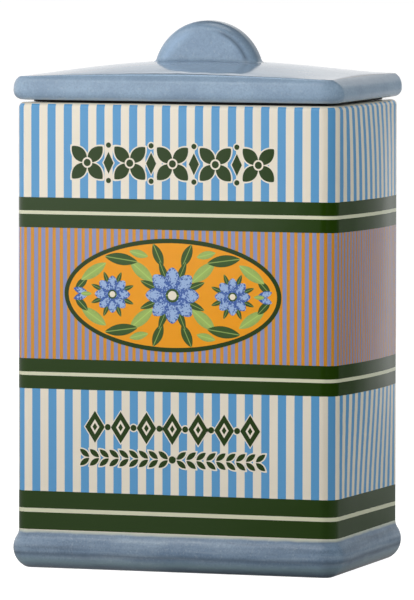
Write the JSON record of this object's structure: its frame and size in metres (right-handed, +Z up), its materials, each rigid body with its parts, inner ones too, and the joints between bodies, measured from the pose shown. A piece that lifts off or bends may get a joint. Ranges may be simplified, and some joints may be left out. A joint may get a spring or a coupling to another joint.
{
  "type": "lidded ceramic storage jar",
  "caption": "Rectangular glazed ceramic food jar with a bullnose foot, a crowned lift-off lid with a half-disc knob, and a ribbed seal under the lid.",
  "frame": {"origin": "middle of the underside, on the plane that the foot ring stands on", "axes": "+Z up, +X to the right as seen from the front, -Y towards the front face"},
  "size_m": [0.1244, 0.0836, 0.1957],
  "materials": {
    "body_glaze": "gloss glaze over a printed stripe and band decoration, cream ground",
    "lid_glaze": "gloss blue-grey glaze with fine mottling",
    "seal_rubber": "matt black silicone"
  },
  "bodies": {
    "jar": {"jar_body": "body_glaze"},
    "lid_unit": {"lid": "lid_glaze", "lid_seal": "seal_rubber"}
  },
  "joints": [
    {"name": "lid_lift", "type": "slide", "parent": "jar", "child": "lid_unit", "axis": [0, 0, 1], "range_m": [0, 0.1]}
  ]
}
